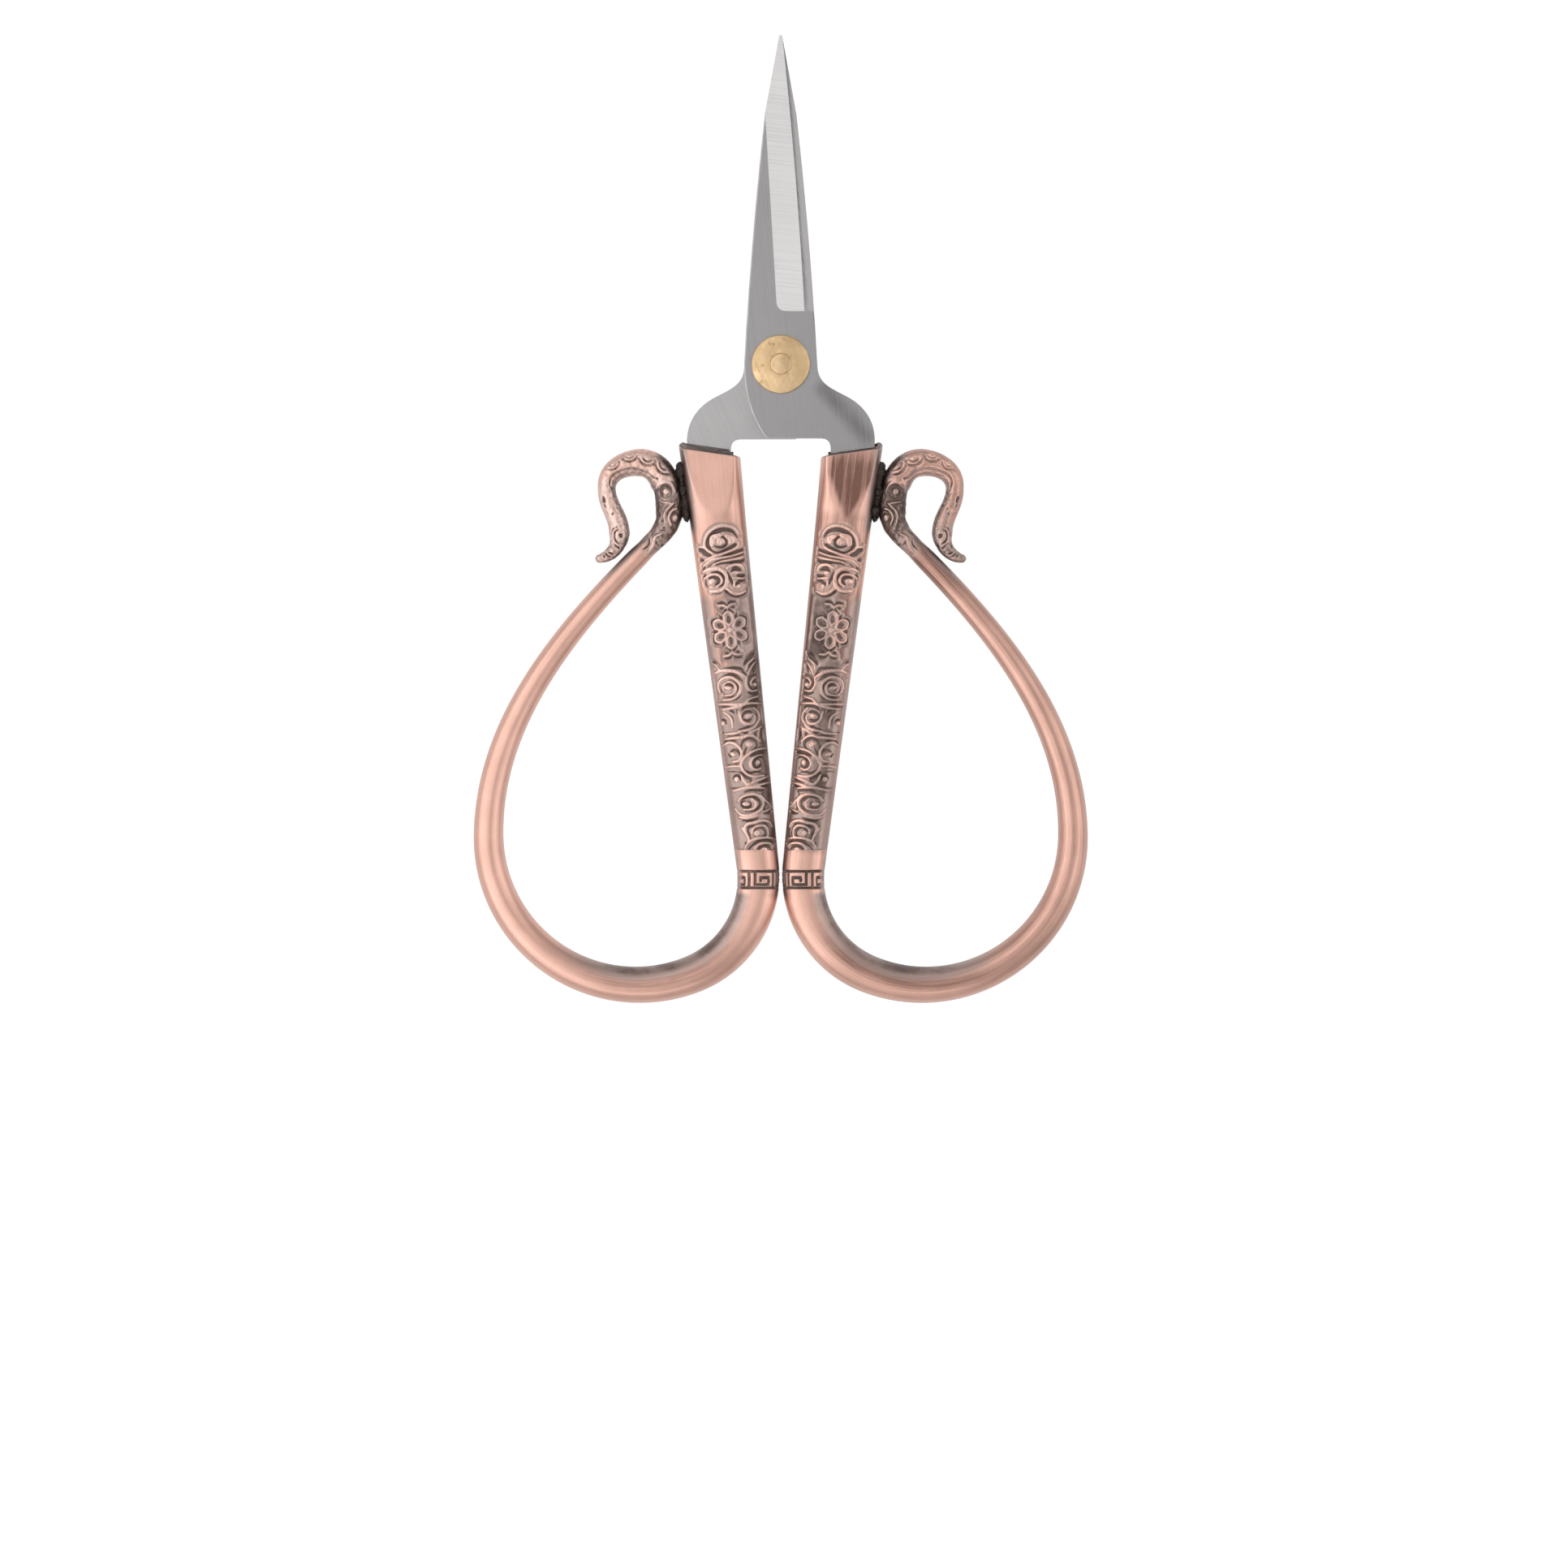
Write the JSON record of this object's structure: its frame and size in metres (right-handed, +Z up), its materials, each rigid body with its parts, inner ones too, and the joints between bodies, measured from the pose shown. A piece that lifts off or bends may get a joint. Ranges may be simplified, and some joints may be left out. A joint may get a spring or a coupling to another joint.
{
  "type": "embroidery scissors",
  "caption": "Slim pointed steel embroidery blades on a brass rivet, cemented into cast copper-coloured handles with scroll relief, wide open bows and curled ends.",
  "frame": {"origin": "centre of the closed scissors' outline, on the table that they lie on", "axes": "+Y along the scissors to the blade tips, +X to the right handle, +Z up through the front face"},
  "size_m": [0.0824, 0.1298, 0.005],
  "materials": {
    "blade_steel": "satin, ground bevels",
    "rivet_brass": "peened, lightly polished",
    "washer_brass": "turned dome, slightly tarnished",
    "antique_copper": "antique copper plate, dark in the recesses",
    "tang_cement": "dark matt resin",
    "dark_solder": "rough, blackened"
  },
  "bodies": {
    "rear_half": {"rear_blade": "blade_steel", "left_handle": "antique_copper", "left_tang_cement": "tang_cement", "left_curl_solder": "dark_solder", "pivot_rivet": "rivet_brass", "front_washer": "washer_brass", "rear_washer": "washer_brass"},
    "front_half": {"front_blade": "blade_steel", "right_handle": "antique_copper", "right_tang_cement": "tang_cement", "right_curl_solder": "dark_solder"}
  },
  "joints": [
    {"name": "blade_pivot", "type": "hinge", "parent": "rear_half", "child": "front_half", "pos_m": [0, 0.02068, 0.0025], "axis": [0, 0, 1], "range_deg": [0, 105]}
  ]
}
